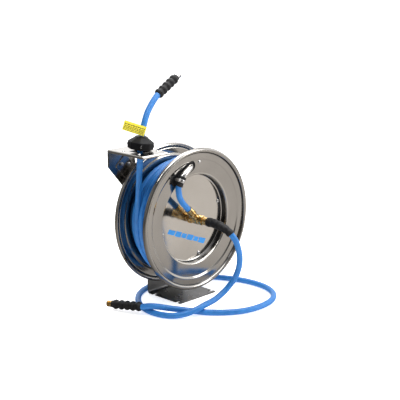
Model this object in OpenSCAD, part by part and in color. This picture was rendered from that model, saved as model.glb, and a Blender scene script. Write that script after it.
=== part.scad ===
// Spring-rewind hose reel with a stationary lead-in hose, on a folded sheet pedestal.
// Millimetres. Z is up, the drum turns about Y, and the front disc faces -Y.
// The origin is on the floor, under the middle of the drum.

/* [Drum] */
// Height of the axle above the floor
axle_z = 224; // [215:1:240]
// Outer radius of the two discs
disc_r = 195; // [190:1:198]
// Distance from the middle of the drum to the face of each disc
ring_y = 52; // [52:0.5:53]
// Distance from the middle of the drum to the floor of each disc's dish
dish_y = 32; // [31:0.5:33]
// Radius of the dish's wall, which carries the innermost wraps
dish_r = 121.5; // [120:0.5:122]
// Thickness of the disc sheet
sheet_t = 1.2; // [1:0.1:1.5]

/* [Hose] */
// Outer diameter of every hose
hose_d = 16; // [15:0.5:16]
// Centre radius of the innermost wraps
wrap_r = 131; // [131:0.5:132]
// Radius gained from one layer of wraps to the next
layer_step = 14; // [13.5:0.25:14.5]
// Distance between neighbouring wraps
wrap_pitch = 17; // [16.5:0.25:17]

/* [Stand] */
// Width of the base plate
base_w = 138; // [130:2:150]
// Front edge of the base plate
base_front = -58; // [-70:1:-50]
// Front face of the upright
upright_y = 70; // [69:0.5:72]
// Thickness of the pedestal sheet
base_t = 3; // [2.5:0.5:3]
// Width of the guide arm
arm_w = 46; // [44:1:48]

/* [Hose guide] */
// Where the hose passes the guide, from the axle towards -X
guide_x = -150; // [-152:1:-148]
// Height of the guide plate's top
guide_z = 425; // [424:0.5:428]
// Radius of the stop on the hose
stop_r = 34; // [32:1:36]
// Height of the stop on the hose
stop_h = 34; // [32:1:38]
// Radius of the four guide rollers
roller_r = 5; // [4.5:0.1:5]

/* [Shaft] */
// Radius of the fixed axle
axle_r = 12.5; // [12.5]
// Radial clearance of every running fit
run_gap = 0.05; // [0.03:0.01:0.08]

/* [Hidden] */
hose_r = hose_d / 2;
round_fn = 64;
small_fn = 32;
bearing_r = 15.5;              // outside of the two bushings
screw_circle_r = 109;          // screws that hold a disc to the core
screw_angles = [15, 105, 195, 285];
core_lip_r = 100;              // inner edge of the core's turned-in lips
ring_step_r = 161;             // where the disc steps out towards its rim
ring_step = 2.5;
bead_r = 6.5;                  // rolled edge of a disc
case_r = 98;                   // spring case, outside
case_front = -20;
case_back = dish_y - sheet_t;
spring_turns = 11;
spring_t = 1.2;
spring_in_r = 25;
spring_out_r = 95.3;
arbor_r = 21;
stop_lean = 6.6;               // the stop leans with the hose, towards +X and the front
stop_z = guide_z + 0.3 + stop_r * sin(stop_lean);
arm_y = upright_y + base_t + 0.2;
arm_t = 3;
head_y = arm_y + arm_t + 0.2;
head_t = 2.5;
arm_angle = 132.7;             // direction of the guide arm, seen from the front
arm_length = 228;
arm_bolt_r = 34;               // bolt circle where the arm meets the pedestal
arm_bolt_angles = [42.7, 132.7, 222.7, 312.7];
head_bolt_points = [[218.5, 6], [200, -9.5]];
guide_y = 0;
window = 21;                   // half the opening in the guide plate
roller_off = 15;               // roller axes, from the middle of the hose
roller_up_z = guide_z - 5.5;   // rollers that run along Y
roller_low_z = guide_z - 10;   // rollers that run along X
roller_long = 24;              // rollers that run along Y
roller_short = 19;             // rollers that run along X, between the other two
pin_r = 1.6;
stop_bolt_x = 20;
stop_bolt_h = 10;
cage_in = 21.5;
cage_t = 2;
ratchet_y = 36;
ratchet_t = 5;
ratchet_r = 46;
ratchet_root_r = 39;
ratchet_teeth = 12;
ratchet_phase = 24;
pawl_drop = 70;                // pawl pivot, below the axle
pawl_len = 39.46;
pawl_rest = 142.5;             // pawl's direction when parked
pawl_pin_r = 4;
port_angle = 135;              // side port of the swivel
port_y = -56;
port_end = 48;
swivel_r = 13.5;
stem_r = 8;
stem_face_y = -70;             // front face of the turning half of the swivel
hose_start_y = -95;            // lead hose leaves its ferrule here
grip_len = 92;
grip_pitch = 17.6;
grip_r = 12.8;
grip_neck_r = 9.9;
thread_r = 8.33;
thread_len = 12;
lead_grip_at = [-193.5, -41, 21.5];
lead_grip_az = 107.5;
lead_grip_el = -4.2;
tail_grip_at = [-74.1, 13.4, 561.6];
tail_az = 10;
tail_grip_el = 24.5;
tag_ring_at = [-143, -2, 481.5];

// Lead hose, from the swivel's ferrule to the end fitting
lead_route = [
    [0, -95, 224], [0, -120, 224], [2, -141, 220], [6, -159, 212], [12, -173, 199], [19, -181, 182],
    [25, -184, 161], [30, -184, 138], [32, -181, 115], [31, -175, 93], [27, -167, 73], [19, -159, 57],
    [7, -154, 44], [-9, -152, 35], [-28, -153, 29], [-50, -156, 27], [-80, -160, 26], [-108, -157, 20],
    [-135, -146, 13], [-156, -128, 9], [-171, -104, 8], [-178, -75, 8], [-177, -46, 8],
    [-169, -16, 8], [-155, 12, 8], [-134, 40, 8], [-106, 66, 8], [-74, 84, 8], [-38, 94, 8],
    [0, 98, 8], [40, 95, 8], [78, 82, 8], [112, 58, 8], [140, 26, 8], [162, -13, 8], [178, -56, 8],
    [184, -102, 8], [179, -149, 8], [159, -190, 8], [125, -221, 8], [79, -237, 8], [32, -238, 8],
    [-8, -228, 8], [-46, -204, 8], [-76, -173, 8], [-96, -149, 10], [-114, -131, 13], [-133, -114, 17],
    [-151, -97, 20.5], [-167, -80, 24], [-179, -64, 25], [-187, -53, 24], [-193.5, -41, 21.5],
    [-207.6, 3.7, 18.1]
];
// Link hose, from the swivel's side port to the gooseneck
link_route = [
    [-34, -56, 258], [-45, -56, 269], [-55, -57, 279], [-63, -58, 289], [-69, -59, 300], [-73, -61, 312],
    [-75, -62, 325], [-72, -64, 336], [-68, -64, 344]
];
// Gooseneck tube, from the link hose through the disc to the innermost wrap
neck_route = [
    [-68, -64, 344], [-59, -64, 354], [-47, -63, 362], [-35, -60, 367], [-25, -55, 370], [-16, -47, 373],
    [-10, -38, 374]
];
// Free end of the hose, from inside the stop to inside its grip
tail_route = [
    [-148.5, -1.5, 447.1], [-147.2, -2.8, 463], [-145.4, -2.7, 474], [-141.5, -1.7, 484], [-135.6, -0.2, 494],
    [-127.8, 2.3, 508.5], [-117.3, 5.6, 522.6], [-104.4, 8.4, 536.5], [-89.4, 10.7, 550.3],
    [-74.1, 13.4, 561.6], [-32, 20.8, 581.1]
];

// ---- helpers ----

// Points of an arc in the XY plane
function arc(cx, cy, r, a0, a1, n) =
    [for (i = [0:n]) let (a = a0 + (a1 - a0) * i / n) [cx + r * cos(a), cy + r * sin(a)]];
function reversed(v) = [for (i = [len(v) - 1:-1:0]) v[i]];
function unit(v) = v / norm(v);
// Direction of a route at point i, averaged over its neighbours
function heading(p, i) = unit(p[min(i + 1, len(p) - 1)] - p[max(i - 1, 0)]);
// Sideways vector that is carried along a route without twisting
function carry(p, i, side) =
    let (h = heading(p, i)) unit(side - h * (side * h));
function sides_of(p, first, i = 0) =
    i >= len(p) ? [] : let (s = carry(p, i, first)) concat([s], sides_of(p, s, i + 1));

// Round tube along a route, its radius a number or one number per point
module swept(p, r, n, first = [1, 0.1, 0.2]) {
    s = sides_of(p, first);
    radii = is_list(r) ? r : [for (q = p) r];
    pts = [for (i = [0:len(p) - 1]) let (h = heading(p, i), u = s[i], v = cross(h, u))
        for (k = [0:n - 1]) p[i] + radii[i] * (cos(360 * k / n) * u + sin(360 * k / n) * v)];
    walls = [for (i = [0:len(p) - 2]) for (k = [0:n - 1])
        [i * n + k, (i + 1) * n + k, (i + 1) * n + (k + 1) % n, i * n + (k + 1) % n]];
    caps = [[for (k = [0:n - 1]) k], [for (k = [n - 1:-1:0]) (len(p) - 1) * n + k]];
    polyhedron(points = pts, faces = concat(walls, caps), convexity = 10);
}

// Local X stays X, local Y is up, local Z points to the front, at height of the axle
module at_axle(y) {
    translate([0, y, axle_z]) rotate([90, 0, 0]) children();
}
// Local Z points along a bearing and an elevation
module aimed(p, az, el) {
    translate(p) rotate([0, 90 - el, az]) children();
}
module ring(r_out, r_in, h) {
    difference() {
        cylinder(r = r_out, h = h, $fn = round_fn);
        translate([0, 0, -1]) cylinder(r = r_in, h = h + 2, $fn = round_fn);
    }
}
// Hex-head bolt, its head on local Z = 0 and its shank running to -Z, with a nut
module bolt_and_nut(shank_r, head_r, head_h, grip, nut_h) {
    cylinder(r = head_r, h = head_h, $fn = 6);
    translate([0, 0, -grip - nut_h - 2]) cylinder(r = shank_r, h = grip + nut_h + 2.5, $fn = small_fn);
    translate([0, 0, -grip - nut_h]) cylinder(r = head_r, h = nut_h, $fn = 6);
}
// Ribbed rubber sleeve along +Z
module grip_sleeve() {
    bulges = [for (i = [0:4]) i];
    outline = concat([[0, 0]],
        [for (i = bulges) each [[grip_neck_r, i * grip_pitch + 1], [grip_r, i * grip_pitch + 6],
            [grip_r, i * grip_pitch + 12], [grip_neck_r, i * grip_pitch + 17]]],
        [[grip_neck_r - 1, grip_len], [0, grip_len]]);
    rotate_extrude($fn = round_fn) polygon(outline);
}
// Hex collar and male thread along +Z, from the end of a grip
module male_end() {
    difference() {
        union() {
            translate([0, 0, -8]) cylinder(r = 9, h = 10, $fn = small_fn);
            translate([0, 0, 2]) cylinder(r = thread_r, h = thread_len, $fn = small_fn);
        }
        translate([0, 0, -9]) cylinder(r = 4.5, h = thread_len + 20, $fn = small_fn);
    }
}
// Cross-section of a disc: X is the radius, Y the distance from the middle of the drum
module disc_profile(hole_r) {
    rim_y = ring_y + ring_step;
    bead_x = disc_r - bead_r;
    t = sheet_t;
    outer = concat([[hole_r, dish_y]],
        arc(dish_r - 5, dish_y + 5, 5, -90, 0, 6),
        arc(dish_r + 5, ring_y - 5, 5, 180, 90, 6),
        [[ring_step_r, ring_y], [ring_step_r + 4, rim_y]],
        arc(bead_x - bead_r - 2, rim_y + 2, 2, -90, 0, 4),
        arc(bead_x, rim_y + 0.5, bead_r, 166, -60, 16));
    inner = concat([[hole_r, dish_y - t]],
        arc(dish_r - 5, dish_y + 5, 5 + t, -90, 0, 6),
        arc(dish_r + 5, ring_y - 5, 5 - t, 180, 90, 6),
        [[ring_step_r + 0.5, ring_y - t], [ring_step_r + 4.5, rim_y - t]],
        arc(bead_x - bead_r - 2, rim_y + 2, 2 + t, -90, 0, 4),
        arc(bead_x, rim_y + 0.5, bead_r - t, 163, -60, 16));
    polygon(concat(outer, reversed(inner)));
}
module screw_row(r) {
    for (a = screw_angles) rotate([0, 0, a]) translate([r, 0, 0]) children();
}
// Pan-head screws and their nuts, seen from outside the disc
module disc_screws() {
    screw_row(screw_circle_r) {
        cylinder(r1 = 5.5, r2 = 3.5, h = 3, $fn = small_fn);
        translate([0, 0, -9]) cylinder(r = 3, h = 9, $fn = small_fn);
        translate([0, 0, -2 * sheet_t - 4.5]) cylinder(r = 5.5, h = 4.5, $fn = 6);
    }
}

// ---- stand ----

module notch(side, y) {
    translate([side * (base_w / 2 - 9), y, -1]) cylinder(r = 4.5, h = base_t + 2, $fn = small_fn);
    translate([side * (base_w / 2 - 4) - 5, y - 4.5, -1]) cube([10, 9, base_t + 2]);
}
module pedestal() {
    color("dimgray") difference() {
        union() {
            translate([-base_w / 2, base_front, 0]) cube([base_w, upright_y + base_t - base_front, base_t]);
            translate([0, upright_y + base_t, 0]) rotate([90, 0, 0]) linear_extrude(base_t)
                polygon([[-base_w / 2, 0], [base_w / 2, 0], [base_w / 2, 110], [50, axle_z],
                    [34, axle_z + 46], [-34, axle_z + 46], [-50, axle_z], [-base_w / 2, 110]]);
        }
        for (s = [-1, 1]) for (y = [base_front + 14, upright_y - 22]) notch(s, y);
        at_axle(upright_y + base_t + 1) cylinder(r = axle_r, h = base_t + 2, $fn = round_fn);
        at_axle(upright_y + base_t + 1) for (a = arm_bolt_angles)
            rotate([0, 0, a]) translate([arm_bolt_r, 0, 0]) cylinder(r = 4.2, h = base_t + 2, $fn = small_fn);
        translate([0, upright_y + base_t + 1, axle_z - pawl_drop]) rotate([90, 0, 0])
            cylinder(r = pawl_pin_r, h = base_t + 2, $fn = small_fn);
    }
}
module head_bolt_places() {
    rotate([0, 0, arm_angle]) for (p = head_bolt_points) translate([p[0], p[1], 0]) children();
}
module guide_arm() {
    color("dimgray") at_axle(arm_y + arm_t) difference() {
        union() {
            cylinder(r = 45, h = arm_t, $fn = round_fn);
            rotate([0, 0, arm_angle]) translate([20, -arm_w / 2, 0]) cube([arm_length - 20, arm_w, arm_t]);
        }
        translate([0, 0, -1]) cylinder(r = axle_r, h = arm_t + 2, $fn = round_fn);
        for (a = arm_bolt_angles) rotate([0, 0, a]) translate([arm_bolt_r, 0, -1])
            cylinder(r = 4.2, h = arm_t + 2, $fn = small_fn);
        head_bolt_places() translate([0, 0, -1]) cylinder(r = 3.2, h = arm_t + 2, $fn = small_fn);
    }
}
module guide_head() {
    top = guide_z - axle_z;
    left = -197;
    right = -107;
    front = -60;
    back = head_y + head_t;
    fold = 7;
    color("silver") difference() {
        union() {
            at_axle(back) linear_extrude(head_t)
                polygon([[left + 2, top], [left + 2, 154], [-138, 86], [-97, 132], [right, top]]);
            translate([left, front, guide_z - head_t]) cube([right - left, back - front, head_t]);
            translate([left, front, guide_z - fold]) cube([right - left, head_t, fold]);
            translate([left, front, guide_z - fold]) cube([head_t, back - front, fold]);
            translate([right - head_t, front, guide_z - fold]) cube([head_t, back - front, fold]);
            translate([left + 2, back - 6, axle_z + 156]) cube([head_t, 6, top - 156]);
        }
        translate([guide_x - window, guide_y - window, guide_z - 6]) cube([2 * window, 2 * window, 8]);
        at_axle(back + 1) head_bolt_places() cylinder(r = 3.2, h = head_t + 2, $fn = small_fn);
        for (p = [[-31, -30], [31, -30], [-31, 30], [31, 30]])
            translate([guide_x + p[0], guide_y + p[1], guide_z - 4]) cylinder(r = 2.1, h = 6, $fn = small_fn);
    }
}
module roller_cage() {
    top = guide_z - head_t;
    wide = cage_in + cage_t;
    color("gray") translate([guide_x, guide_y, 0]) difference() {
        union() {
            for (s = [-1, 1]) translate([s * (cage_in + cage_t / 2) - cage_t / 2, -19, guide_z - 13])
                cube([cage_t, 38, top - guide_z + 13]);
            for (s = [-1, 1]) translate([-19, s * (cage_in + cage_t / 2) - cage_t / 2, guide_z - 8])
                cube([38, cage_t, top - guide_z + 8]);
            for (s = [-1, 1]) translate([-37, s * 30 - 7, top - 2]) cube([74, 14, 2]);
            for (s = [-1, 1]) translate([s * 30 - 7, -37, top - 2]) cube([14, 74, 2]);
            for (s = [-1, 1]) translate([-wide, s * (wide - 1) - 1, top - 2]) cube([2 * wide, 2, 2]);
        }
        for (s = [-1, 1]) translate([s * roller_off, 30, roller_up_z]) rotate([90, 0, 0])
            cylinder(r = pin_r, h = 60, $fn = small_fn);
        for (s = [-1, 1]) translate([-30, s * roller_off, roller_low_z]) rotate([0, 90, 0])
            cylinder(r = pin_r, h = 60, $fn = small_fn);
        for (p = [[-31, -30], [31, -30], [-31, 30], [31, 30]])
            translate([p[0], p[1], top - 4]) cylinder(r = 2.1, h = 6, $fn = small_fn);
    }
}
module roller_pins() {
    long = 2 * (cage_in + cage_t + 1.5);
    color("silver") translate([guide_x, guide_y, 0]) {
        for (s = [-1, 1]) translate([s * roller_off, long / 2, roller_up_z]) rotate([90, 0, 0])
            cylinder(r = pin_r, h = long, $fn = small_fn);
        for (s = [-1, 1]) translate([-long / 2, s * roller_off, roller_low_z]) rotate([0, 90, 0])
            cylinder(r = pin_r, h = long, $fn = small_fn);
    }
}
module cage_rivets() {
    color("silver") for (p = [[-31, -30], [31, -30], [-31, 30], [31, 30]])
        translate([guide_x + p[0], guide_y + p[1], guide_z]) {
            cylinder(r1 = 4, r2 = 2.5, h = 1.6, $fn = small_fn);
            translate([0, 0, -head_t - 2]) cylinder(r = 2.1, h = head_t + 2, $fn = small_fn);
            translate([0, 0, -head_t - 3.4]) cylinder(r = 3.4, h = 1.4, $fn = small_fn);
        }
}
module arm_bolts() {
    color("silver") at_axle(upright_y) for (a = arm_bolt_angles) rotate([0, 0, a])
        translate([arm_bolt_r, 0, 0]) bolt_and_nut(4, 7, 5, arm_y + arm_t - upright_y, 6);
}
module head_bolts() {
    color("silver") at_axle(arm_y) head_bolt_places() bolt_and_nut(3, 5.5, 4, head_y + head_t - arm_y, 5);
}

// ---- fixed shaft and brake ----

module axle() {
    color("silver") {
        at_axle(93) cylinder(r = axle_r, h = 119.5, $fn = round_fn);
        at_axle(upright_y) ring(22, axle_r, 9);
    }
}
module axle_washer() {
    color("silver") at_axle(arm_y + arm_t + 2.7) ring(19, axle_r, 2.5);
}
module axle_nut() {
    color("silver") at_axle(arm_y + arm_t + 12.7) difference() {
        cylinder(r = 20, h = 10, $fn = 6);
        translate([0, 0, -1]) cylinder(r = axle_r, h = 12, $fn = round_fn);
    }
}
module spring_arbor() {
    color("gray") at_axle(27) difference() {
        cylinder(r = arbor_r, h = 44, $fn = round_fn);
        translate([0, 0, -1]) cylinder(r = axle_r, h = 46, $fn = round_fn);
        translate([axle_r + 3, -1, -1]) cube([arbor_r, 2, 46]);
    }
}
module front_retaining_ring() {
    color("silver") at_axle(-24) ring(14.8, axle_r, 1.2);
}
module pawl_pivot() {
    color("silver") translate([0, upright_y + base_t, axle_z - pawl_drop]) rotate([90, 0, 0]) {
        cylinder(r = pawl_pin_r, h = 38.5, $fn = small_fn);
        translate([0, 0, 38.5]) cylinder(r = 6, h = 1.5, $fn = small_fn);
        translate([0, 0, base_t]) ring(7, pawl_pin_r, 20);
    }
}
// Torsion spring round the pivot
module pawl_spring() {
    turns = 4;
    coil = [for (i = [0:turns * 12]) [5.3 * cos(i * 30), 41.8 + i * 0.145, 5.3 * sin(i * 30)]];
    color("gray") translate([0, 0, axle_z - pawl_drop]) swept(coil, 0.7, 8, [0.1, 1, 0]);
}
module ratchet_pawl() {
    color("gray") translate([0, ratchet_y + ratchet_t - 0.5, axle_z - pawl_drop]) rotate([90, 0, 0])
        difference() {
            union() {
                cylinder(r = 8, h = 4, $fn = small_fn);
                rotate([0, 0, pawl_rest]) {
                    linear_extrude(4) polygon([[0, -5], [pawl_len - 8, -3], [pawl_len, -2], [pawl_len, 2],
                        [pawl_len - 8, 3], [0, 5]]);
                    translate([pawl_len, 0, 0]) cylinder(r = 2, h = 4, $fn = small_fn);
                }
            }
            translate([0, 0, -1]) cylinder(r = pawl_pin_r + run_gap, h = 6, $fn = small_fn);
        }
}

// ---- drum ----

module front_disc() {
    slot_a = [-17, 149];
    slot_b = [-76, 118];
    slot_w = 13;
    turn = atan2(slot_a[1] - slot_b[1], slot_a[0] - slot_b[0]);
    color("silver") at_axle(0) difference() {
        rotate_extrude($fn = round_fn) disc_profile(bearing_r);
        translate([0, 0, ring_y - 5]) linear_extrude(10) polygon(concat(
            arc(slot_a[0], slot_a[1], slot_w, turn - 90, turn + 90, 12),
            arc(slot_b[0], slot_b[1], slot_w, turn + 90, turn + 270, 12)));
        screw_row(screw_circle_r) translate([0, 0, dish_y - 5]) cylinder(r = 3, h = 10, $fn = small_fn);
        rotate([0, 0, 85]) translate([156, 0, ring_y - 5]) cylinder(r = 2.5, h = 10, $fn = small_fn);
    }
}
module rear_disc() {
    color("silver") at_axle(0) mirror([0, 0, 1]) difference() {
        rotate_extrude($fn = round_fn) disc_profile(20);
        screw_row(screw_circle_r) translate([0, 0, dish_y - 5]) cylinder(r = 3, h = 10, $fn = small_fn);
    }
}
module drum_core() {
    half = dish_y - sheet_t;
    color("gray") at_axle(0) difference() {
        union() {
            translate([0, 0, -half]) cylinder(r = dish_r - 5, h = 2 * half, $fn = round_fn);
            translate([0, 0, 6 - half]) cylinder(r = dish_r, h = 2 * (half - 6), $fn = round_fn);
        }
        translate([0, 0, 7.2 - half]) cylinder(r = dish_r - 1.2, h = 2 * (half - 7.2), $fn = round_fn);
        translate([0, 0, 1.2 - half]) cylinder(r = dish_r - 6.2, h = 2 * (half - 1.2), $fn = round_fn);
        translate([0, 0, -half - 1]) cylinder(r = core_lip_r, h = 2 * half + 2, $fn = round_fn);
        screw_row(screw_circle_r) translate([0, 0, -half - 1]) cylinder(r = 3, h = 2 * half + 2, $fn = small_fn);
    }
}
module front_disc_screws() {
    color("silver") at_axle(-dish_y) disc_screws();
}
module rear_disc_screws() {
    color("silver") at_axle(dish_y) mirror([0, 0, 1]) disc_screws();
}
module ring_rivet() {
    color("silver") at_axle(-ring_y) rotate([0, 0, 85]) translate([156, 0, 0]) {
        cylinder(r1 = 5, r2 = 3.5, h = 2.2, $fn = small_fn);
        translate([0, 0, -sheet_t]) cylinder(r = 2.5, h = sheet_t, $fn = small_fn);
    }
}
module front_hub() {
    back = dish_y - sheet_t;
    color("gray") at_axle(-back) difference() {
        union() {
            translate([0, 0, -3]) cylinder(r = 32, h = 3, $fn = round_fn);
            translate([0, 0, -12.5]) cylinder(r = 20, h = 9.6, $fn = round_fn);
        }
        translate([0, 0, -13]) cylinder(r = bearing_r, h = 14, $fn = round_fn);
    }
}
module front_bushing() {
    color("peru") at_axle(-18.5) ring(bearing_r, axle_r + run_gap, 5);
}
module rear_hub() {
    color("gray") at_axle(59) difference() {
        union() {
            cylinder(r = 20, h = 59 - case_back, $fn = round_fn);
            translate([0, 0, 59 - dish_y - 3]) cylinder(r = 34, h = 3, $fn = round_fn);
        }
        translate([0, 0, -1]) cylinder(r = bearing_r, h = 40, $fn = round_fn);
    }
}
module rear_bushing() {
    color("peru") at_axle(59) ring(bearing_r, axle_r + run_gap, 28);
}
module spring_case() {
    long = case_back - case_front;
    color("slategray") at_axle(case_back) difference() {
        cylinder(r = case_r, h = long, $fn = round_fn);
        translate([0, 0, 1.5]) cylinder(r = case_r - 1.5, h = long, $fn = round_fn);
        translate([0, 0, -1]) cylinder(r = 20, h = 4, $fn = round_fn);
    }
}
module spring_cover() {
    color("slategray") at_axle(case_front) ring(case_r, 20.5, 1.5);
}
module main_spring() {
    steps = spring_turns * 16;
    rise = (spring_out_r - spring_in_r) / steps;
    in_side = [for (i = [0:steps]) let (a = i * 22.5, r = spring_in_r + rise * i) [r * cos(a), r * sin(a)]];
    out_side = [for (i = [0:steps]) let (a = i * 22.5, r = spring_in_r + spring_t + rise * i)
        [r * cos(a), r * sin(a)]];
    color("steelblue") at_axle(25) linear_extrude(42) polygon(concat(in_side, reversed(out_side)));
}
module ratchet_wheel() {
    step = 360 / ratchet_teeth;
    teeth = [for (k = [0:ratchet_teeth - 1]) let (a = ratchet_phase + k * step) each [
        [ratchet_r * cos(a), ratchet_r * sin(a)],
        [ratchet_root_r * cos(a + 3), ratchet_root_r * sin(a + 3)],
        [43 * cos(a + 17), 43 * sin(a + 17)]]];
    color("gray") at_axle(ratchet_y + ratchet_t) difference() {
        linear_extrude(ratchet_t) polygon(teeth);
        translate([0, 0, -1]) cylinder(r = 20, h = ratchet_t + 2, $fn = round_fn);
    }
}

// ---- swivel and inner hose run ----

module swivel_body() {
    deep = -42;
    color("goldenrod") at_axle(-dish_y) difference() {
        union() {
            translate([0, 0, -4]) cylinder(r = bearing_r, h = 4.2, $fn = round_fn);
            cylinder(r = 15, h = 8, $fn = 6);
            translate([0, 0, 8]) cylinder(r = swivel_r, h = -stem_face_y - dish_y - 8, $fn = round_fn);
            translate([0, 0, -port_y - dish_y]) rotate([0, 0, port_angle]) rotate([0, 90, 0])
                cylinder(r = 9, h = 21, $fn = round_fn);
        }
        translate([0, 0, -deep - dish_y]) cylinder(r = stem_r + run_gap, h = 40, $fn = round_fn);
        translate([0, 0, -deep - dish_y]) cylinder(r = 10, h = 4.5, $fn = round_fn);
        translate([0, 0, -port_y - dish_y]) rotate([0, 0, port_angle]) rotate([0, 90, 0])
            cylinder(r = 4, h = 30, $fn = round_fn);
    }
}
module port_fitting() {
    color("goldenrod") at_axle(port_y) rotate([0, 0, port_angle]) rotate([0, 90, 0]) difference() {
        union() {
            translate([0, 0, 21]) cylinder(r = 11.5, h = 9, $fn = 6);
            translate([0, 0, 30]) cylinder(r = 10, h = port_end - 30, $fn = round_fn);
        }
        translate([0, 0, 20]) cylinder(r = 4, h = 30, $fn = small_fn);
    }
}
module link_hose() {
    color("royalblue") swept(link_route, hose_r, 12);
}
module neck_grommet() {
    color("black") swept([[-74, -62.9, 329.5], [-72, -63.8, 335], [-69, -64, 342.5], [-61, -64, 352]], 10.2, 16);
}
module neck_clamp() {
    color("silver") translate([-70.2, -64, 339]) rotate([0, 26, 0]) {
        ring(11.2, 10.2, 6);
        translate([-16, -4, 0]) cube([6, 8, 6]);
    }
}
module gooseneck() {
    color("lightgray") swept(neck_route, hose_r + 0.7, 16);
}
module wound_hose() {
    half = 2.5 * wrap_pitch + hose_r;
    inner = wrap_r - hose_r;
    full_r = wrap_r + layer_step + hose_r;
    outer_end = half - 4 * wrap_pitch + 1;
    round_off = 7.5;
    color("royalblue") at_axle(0) rotate_extrude($fn = round_fn) polygon([
        [inner, round_off - half], [inner + round_off, -half], [full_r, -half], [full_r, outer_end],
        [full_r + layer_step, outer_end], [full_r + layer_step, half], [inner + round_off, half],
        [inner, half - round_off]
    ]);
}

// ---- hose end and its stop ----

module leaning() {
    translate([guide_x, guide_y, stop_z]) rotate(a = stop_lean, v = [1, 1, 0]) children();
}
function leaning_point(h) = [
    guide_x + h * sin(stop_lean) / sqrt(2), guide_y - h * sin(stop_lean) / sqrt(2), stop_z + h * cos(stop_lean)
];
module stop_half(side) {
    gap = 0.2;
    leaning() difference() {
        rotate_extrude($fn = round_fn) polygon([
            [hose_r, 0], [stop_r - 2.5, 0], [stop_r, 2.5], [stop_r, stop_h - 17], [stop_r - 3, stop_h - 13],
            [16, stop_h - 3], [12.5, stop_h], [hose_r, stop_h]
        ]);
        translate([-60, side * (60 - gap / 2) - 60, -5]) cube([120, 60, 60]);
        translate([-60, -gap / 2, -5]) cube([120, gap, 60]);
        for (s = [-1, 1]) translate([s * stop_bolt_x, 40, stop_bolt_h]) rotate([90, 0, 0])
            cylinder(r = 2.5, h = 80, $fn = small_fn);
    }
}
module stop_front_half() {
    color("black") stop_half(1);
}
module stop_rear_half() {
    color("black") stop_half(0);
}
module stop_bolts() {
    color("silver") leaning() for (s = [-1, 1]) translate([s * stop_bolt_x, 27, stop_bolt_h]) rotate([90, 0, 0])
        cylinder(r = 2.5, h = 54, $fn = small_fn);
}
module hose_tag() {
    color("yellow") {
        translate(tag_ring_at) rotate([0, 24, 13]) ring(hose_r + 1.1, hose_r, 6);
        translate([-163, 6.5, 486.4]) rotate([0, 18, -45]) translate([-29.5, -0.5, -12.5]) cube([59, 1, 25]);
    }
}
module tail_hose() {
    color("royalblue") swept(tail_route, hose_r, 12, [0.1, 1, 0]);
}
module tail_grip() {
    color("black") aimed(tail_grip_at, tail_az, tail_grip_el) grip_sleeve();
}
module tail_fitting() {
    color("silver") aimed(tail_grip_at, tail_az, tail_grip_el) translate([0, 0, grip_len]) male_end();
}
// The run between the drum and the stop, which grows as hose is pulled out
module pull_hose() {
    wrap_x = -(wrap_r + 2 * layer_step);
    wrap_y = -1.5 * wrap_pitch + 2.1 * wrap_pitch;
    low = axle_z + 84;
    lean = (low - axle_z) / (guide_z - axle_z);
    foot = [wrap_x + (guide_x - wrap_x) * lean, wrap_y + (guide_y - wrap_y) * lean, low];
    color("royalblue") swept([foot, leaning_point(0), leaning_point(18)], hose_r - 0.1, 12);
}

// ---- lead-in hose ----

module swivel_stem() {
    color("goldenrod") at_axle(-44) difference() {
        union() {
            cylinder(r = stem_r, h = -stem_face_y - 44 + 1, $fn = round_fn);
            translate([0, 0, -stem_face_y - 44 + 0.8]) cylinder(r = 13.5, h = 9, $fn = 6);
        }
        translate([0, 0, 1]) ring(stem_r + 1, 6.5, 1.4);
        for (z = [5, 18]) translate([0, 0, z]) ring(stem_r + 1, 6.5, 2.4);
        translate([0, 0, -1]) cylinder(r = 4, h = 60, $fn = small_fn);
        for (a = [45, 135]) rotate([0, 0, a]) translate([-stem_r - 1, 0, 12]) rotate([0, 90, 0])
            cylinder(r = 2.5, h = 2 * stem_r + 2, $fn = small_fn);
    }
}
module swivel_seals() {
    color("black") at_axle(-44) for (z = [5, 18]) translate([0, 0, z]) ring(stem_r, 6.5, 2.4);
}
module swivel_retaining_ring() {
    color("silver") at_axle(-45) ring(9.6, 6.5, 1.4);
}
module lead_ferrule() {
    front = -hose_start_y;
    back = -stem_face_y + 9.8;
    color("goldenrod") at_axle(-back) difference() {
        union() {
            cylinder(r = 8.5, h = 3, $fn = round_fn);
            translate([0, 0, 3]) cylinder(r = 11, h = front - back - 3, $fn = round_fn);
        }
        translate([0, 0, -1]) cylinder(r = 4, h = 40, $fn = small_fn);
    }
}
module lead_restrictor() {
    color("black") swept([for (i = [0:4]) lead_route[i]], [12.4, 12.6, 12, 12, 11], 16);
}
module lead_hose() {
    color("royalblue") swept(lead_route, hose_r, 12);
}
module lead_grip() {
    color("black") aimed(lead_grip_at, lead_grip_az, lead_grip_el) grip_sleeve();
}
module lead_fitting() {
    color("goldenrod") aimed(lead_grip_at, lead_grip_az, lead_grip_el) translate([0, 0, grip_len]) male_end();
}

// ---- guide rollers ----

module roller(long) {
    translate([0, 0, -long / 2]) difference() {
        cylinder(r = roller_r, h = long, $fn = small_fn);
        translate([0, 0, -1]) cylinder(r = pin_r + run_gap, h = long + 2, $fn = small_fn);
    }
}
module roller_along_y(side) {
    color("black") translate([guide_x + side * roller_off, guide_y, roller_up_z]) rotate([90, 0, 0])
        roller(roller_long);
}
module roller_along_x(side) {
    color("black") translate([guide_x, guide_y + side * roller_off, roller_low_z]) rotate([0, 90, 0])
        roller(roller_short);
}
module roller_left() {
    roller_along_y(-1);
}
module roller_right() {
    roller_along_y(1);
}
module roller_front() {
    roller_along_x(-1);
}
module roller_rear() {
    roller_along_x(1);
}

// ---- one line per piece ----

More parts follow.
